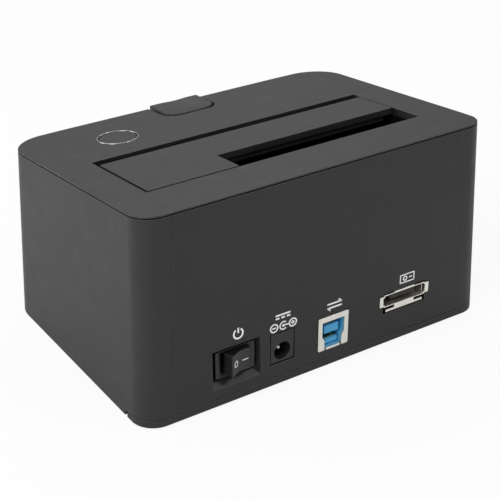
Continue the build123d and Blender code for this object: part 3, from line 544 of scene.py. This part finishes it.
def finish_spring(shape, node):
    """Makes the wound piece where it was wound, and hides the CAD piece."""
    bmesh.ops.recalc_face_normals(shape, faces=shape.faces)
    for face in shape.faces:
        face.smooth = len(face.verts) == 4
    piece = object_from(shape, node + "_wire", ground_steel)
    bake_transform(piece)
    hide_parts(node)


def make_eject_spring():
    low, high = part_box("eject_spring")
    middle = (low + high) / 2
    start = Vector((middle.x, middle.y, low.z + eject_spring_wire))
    end = Vector((middle.x, middle.y, high.z - eject_spring_wire))
    out = Vector((high.x - middle.x - eject_spring_wire, 0, 0))
    shape = bmesh.new()
    wind(shape, start, Vector((0, 0, 1)), out, end.z - start.z, eject_spring_wire, eject_spring_turns)
    finish_spring(shape, "eject_spring")


def make_flap_spring():
    low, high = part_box("flap_spring")
    pin_low, pin_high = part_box("flap_pin")
    pin = (pin_low + pin_high) / 2
    radius = pin.z - low.z - flap_spring_wire
    start = Vector((low.x + flap_spring_wire, pin.y, pin.z))
    end = Vector((high.x - flap_spring_wire, pin.y, pin.z))
    cradle_end = Vector((start.x, low.y, pin.z - radius))
    flap_end = Vector((end.x, high.y, high.z - flap_spring_wire))
    reach = flap_end - end
    rise = math.atan2(reach.z, reach.y) + math.asin(radius / reach.length)
    bottom = Vector((0, 0, -radius))
    leaving = radius * Vector((0, math.sin(rise), -math.cos(rise)))
    turns = flap_spring_turns + rise / math.tau
    shape = bmesh.new()
    wind(shape, start, Vector((1, 0, 0)), bottom, end.x - start.x, flap_spring_wire, turns)
    add_leg(shape, start + bottom, cradle_end, flap_spring_wire)
    add_leg(shape, end + leaving, flap_end, flap_spring_wire)
    finish_spring(shape, "flap_spring")


make_eject_spring()
make_flap_spring()


# Strokes of ink, drawn flat about a sign's own middle

ink_thickness = 0.03 * mm
stroke = 0.60 * mm
thin_stroke = 0.48 * mm
thinnest_stroke = 0.42 * mm
arc_steps = 40
disc_sides = 32


def add_bar(shape, x, y, width, height, turn=0.0):
    place = Matrix.Translation((x, y, 0)) @ Matrix.Rotation(turn, 4, "Z")
    size = Matrix.Diagonal((width, height, 1, 1))
    bmesh.ops.create_grid(shape, x_segments=1, y_segments=1, size=0.5, matrix=place @ size)


def add_arc(shape, x, y, radius, start, sweep, width=stroke):
    """A ribbon along an arc; a full turn closes it."""
    middle = Vector((x, y, 0))
    out = Vector((math.cos(start), math.sin(start), 0))
    inner = shape.verts.new(middle + out * (radius - width / 2))
    outer = shape.verts.new(middle + out * (radius + width / 2))
    side = shape.edges.new((inner, outer))
    bmesh.ops.spin(
        shape, geom=[inner, outer, side], cent=middle, axis=(0, 0, 1), angle=sweep, steps=arc_steps,
        use_merge=sweep >= math.tau,
    )


def add_disc(shape, x, y, radius):
    place = Matrix.Translation((x, y, 0))
    bmesh.ops.create_circle(shape, cap_ends=True, segments=disc_sides, radius=radius, matrix=place)


def add_path(shape, points, width=stroke, closed=False):
    """Straight strokes between points, with round joints."""
    ends = points + [points[0]] if closed else points
    for (x1, y1), (x2, y2) in zip(ends, ends[1:]):
        length = math.hypot(x2 - x1, y2 - y1)
        add_bar(shape, (x1 + x2) / 2, (y1 + y2) / 2, length, width, math.atan2(y2 - y1, x2 - x1))
    for x, y in points:
        add_disc(shape, x, y, width / 2)


def printed(name, draw, place, body):
    """A sign as a thin film of ink that just stands on its face."""
    shape = bmesh.new()
    draw(shape)
    bmesh.ops.recalc_face_normals(shape, faces=shape.faces)
    grown = bmesh.ops.extrude_face_region(shape, geom=shape.faces[:])
    lifted = [item for item in grown["geom"] if isinstance(item, bmesh.types.BMVert)]
    bmesh.ops.translate(shape, vec=(0, 0, ink_thickness), verts=lifted)
    bmesh.ops.translate(shape, vec=(0, 0, -ink_thickness / 3), verts=shape.verts)
    bmesh.ops.recalc_face_normals(shape, faces=shape.faces)
    bmesh.ops.transform(shape, matrix=place, verts=shape.verts)
    piece = object_from(shape, name, ink_white)
    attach(piece, body)


# Signs on the rear face

def draw_power(shape):
    """A ring open at the top, with a bar in its gap."""
    half_gap = math.radians(32)
    add_arc(shape, 0, 0, 1.68 * mm, math.pi / 2 + half_gap, math.tau - 2 * half_gap)
    add_bar(shape, 0, 1.15 * mm, stroke, 1.9 * mm)


def draw_polarity(shape):
    """A minus in a ring, the jack's own open ring about its pin, and a plus in a ring."""
    step = 3.58 * mm
    radius = 1.36 * mm
    bar = 1.5 * mm
    lead = 0.62 * step
    add_arc(shape, -step, 0, radius, 0, math.tau, thin_stroke)
    add_bar(shape, -step, 0, bar, thin_stroke)
    add_arc(shape, 0, 0, radius, math.radians(48), math.radians(264), thin_stroke)
    add_disc(shape, 0, 0, 0.52 * mm)
    add_bar(shape, lead / 2, 0, lead, thin_stroke)
    add_arc(shape, step, 0, radius, 0, math.tau, thin_stroke)
    add_bar(shape, step, 0, bar, thin_stroke)
    add_bar(shape, step, 0, thin_stroke, bar)


def draw_direct_current(shape):
    """A long bar over three short ones."""
    width = 5.6 * mm
    dash = width / 4
    half_apart = 0.55 * mm
    add_bar(shape, 0, half_apart, width, stroke)
    for place in (-1, 0, 1):
        add_bar(shape, place * (width - dash) / 2, -half_apart, dash, stroke)


def draw_data_arrows(shape):
    """Two half arrows, one each way."""
    reach = 2.7 * mm
    half_apart = 0.72 * mm
    barb_back = 0.9 * mm
    barb_out = 0.8 * mm
    for side in (-1, 1):
        tip = (side * reach, side * half_apart)
        tail = (-side * reach, side * half_apart)
        barb = (tip[0] - side * barb_back, tip[1] + side * barb_out)
        add_path(shape, [tail, tip])
        add_path(shape, [barb, tip])


def draw_drive(shape):
    """A small drive: a case, its disc and a bar."""
    half_width = 2.9 * mm
    half_height = 1.45 * mm
    corners = [
        (-half_width, -half_height), (half_width, -half_height),
        (half_width, half_height), (-half_width, half_height),
    ]
    add_path(shape, corners, thinnest_stroke, closed=True)
    add_arc(shape, -0.9 * mm, 0, 0.72 * mm, 0, math.tau, thinnest_stroke)
    add_bar(shape, 1.45 * mm, 0, 1.3 * mm, thinnest_stroke)


def rear_place(x, z):
    """Where a sign's middle sits on the rear face, with its own X to the viewer's right."""
    right = Vector((-1, 0, 0))
    out = Vector((0, 1, rear_lean)).normalized()
    turn = Matrix((right, out.cross(right), out)).transposed().to_4x4()
    return Matrix.Translation((x, rear_foot_y - rear_lean * z, z + feet_lift)) @ turn


rear_signs = [
    ("power_sign", draw_power, 33.4 * mm, 23.8 * mm),
    ("polarity_signs", draw_polarity, 16.5 * mm, 21.0 * mm),
    ("direct_current_sign", draw_direct_current, 16.66 * mm, 24.6 * mm),
    ("data_sign", draw_data_arrows, -3.5 * mm, 21.9 * mm),
    ("drive_sign", draw_drive, -33.6 * mm, 22.4 * mm),
]
for name, draw, x, z in rear_signs:
    printed(name, draw, rear_place(x, z), "chassis")


# Signs on the rocker, each in the middle of one of its two slopes

rocker_pivot = Vector(joints["rocker_tilt"]["pos_m"])
rocker_rest_turn = math.radians(joints["rocker_tilt"]["range_deg"][1]) / 2
rocker_valley = 4.0 * mm
rocker_rise = 0.8 * mm
rocker_run = 3.9 * mm
rocker_slope = math.atan2(rocker_rise, rocker_run)
rocker_sign_x = 1.99 * mm


def rocker_place(x):
    """A spot on one of the rocker's two slopes, as the rocker is tilted at rest."""
    out = rocker_valley + abs(x) * math.tan(rocker_slope)
    spot = Matrix.Rotation(rocker_rest_turn, 4, "Z") @ Matrix.Translation((x, out, 0))
    lean = Matrix.Rotation(math.copysign(rocker_slope, x), 4, "Z")
    facing = Matrix(((-1, 0, 0), (0, 0, 1), (0, 1, 0))).to_4x4()
    return Matrix.Translation(rocker_pivot) @ spot @ lean @ facing


def draw_off(shape):
    """A tall ring between two ellipses."""
    for width, height in ((0.92 * mm, 1.20 * mm), (0.60 * mm, 0.90 * mm)):
        size = Matrix.Diagonal((width, height, 1, 1))
        bmesh.ops.create_circle(shape, cap_ends=False, segments=48, radius=1.0, matrix=size)
    bmesh.ops.bridge_loops(shape, edges=shape.edges)


def draw_on(shape):
    add_bar(shape, 0, 0, 2.2 * mm, 0.3 * mm)


printed("off_sign", draw_off, rocker_place(rocker_sign_x), "rocker")
printed("on_sign", draw_on, rocker_place(-rocker_sign_x), "rocker")


# Floor, light and camera

white = (1, 1, 1, 1)
floor_half_size = 3.0
floor_glow_share = 0.9
sky_tint = (0.965, 0.985, 1.0, 1)
sky_strength = 0.35
lamp_target = (0, 0, 0.03)
edge_target = (0, 0.045, 0.07)


def show_camera(tree, lit, shown, share, surface):
    """Puts a share of a second look over the one that lights the object, for the camera alone."""
    path = tree.nodes.new("ShaderNodeLightPath")
    blend = tree.nodes.new("ShaderNodeMixShader")
    amount = math_node(tree, "MULTIPLY", path.outputs["Is Camera Ray"], share)
    set_inputs(tree, blend, {"Fac": amount, 1: lit, 2: shown})
    tree.links.new(blend.outputs["Shader"], surface)


def make_floor():
    material, tree, shader = blank_material("floor_white")
    set_inputs(tree, shader, {"Base Color": grey(0.90), "Roughness": 0.9, "Specular IOR Level": 0.0})
    glow = tree.nodes.new("ShaderNodeEmission")
    set_inputs(tree, glow, {"Color": white, "Strength": 1.0})
    surface = tree.nodes["Material Output"].inputs["Surface"]
    show_camera(tree, shader.outputs["BSDF"], glow.outputs["Emission"], floor_glow_share, surface)
    shape = bmesh.new()
    bmesh.ops.create_grid(shape, x_segments=1, y_segments=1, size=floor_half_size)
    object_from(shape, "floor", material)


def make_world():
    world = bpy.data.worlds.new("studio")
    bpy.context.scene.world = world
    world.use_nodes = True
    tree = world.node_tree
    sky = tree.nodes["Background"]
    set_inputs(tree, sky, {"Color": sky_tint, "Strength": sky_strength})
    backdrop = tree.nodes.new("ShaderNodeBackground")
    set_inputs(tree, backdrop, {"Color": white, "Strength": 1.0})
    surface = tree.nodes["World Output"].inputs["Surface"]
    show_camera(tree, sky.outputs["Background"], backdrop.outputs["Background"], 1.0, surface)


def make_softbox(name, place, target, size, power):
    data = bpy.data.lights.new(name, "AREA")
    data.size = size
    data.energy = power
    lamp = put_in_scene(name, data)
    lamp.location = place
    lamp.rotation_euler = (Vector(target) - Vector(place)).to_track_quat("-Z", "Y").to_euler()


def make_camera():
    back = Vector((
        math.sin(camera_turn) * math.cos(camera_lift),
        -math.cos(camera_turn) * math.cos(camera_lift),
        math.sin(camera_lift),
    ))
    right = Vector((math.cos(camera_turn), math.sin(camera_turn), 0))
    up = back.cross(right)
    data = bpy.data.cameras.new("camera")
    data.sensor_width = sensor_width
    data.lens = focal_pixels / picture_width * sensor_width
    data.clip_start = 0.01
    aim = Vector((0, housing_shift, aim_height + feet_lift))
    place = aim + right * camera_slide + up * camera_sink + back * camera_distance
    turn = Matrix((right, up, back)).transposed().to_4x4()
    camera = put_in_scene("camera", data)
    camera.matrix_world = Matrix.Translation(place) @ turn
    bpy.context.scene.camera = camera


make_floor()
make_world()
make_softbox("key_softbox", (0.75, 0.25, 0.75), lamp_target, 0.7, 6.5)
make_softbox("front_side_softbox", (0.85, -0.65, 0.35), lamp_target, 0.7, 3.6)
make_softbox("back_softbox", (-0.35, -0.75, 0.8), lamp_target, 0.7, 2.8)
make_softbox("edge_softbox", (-0.40, 0.46, 0.74), edge_target, 0.2, 1.5)
make_camera()

bpy.context.scene.view_settings.view_transform = "Standard"
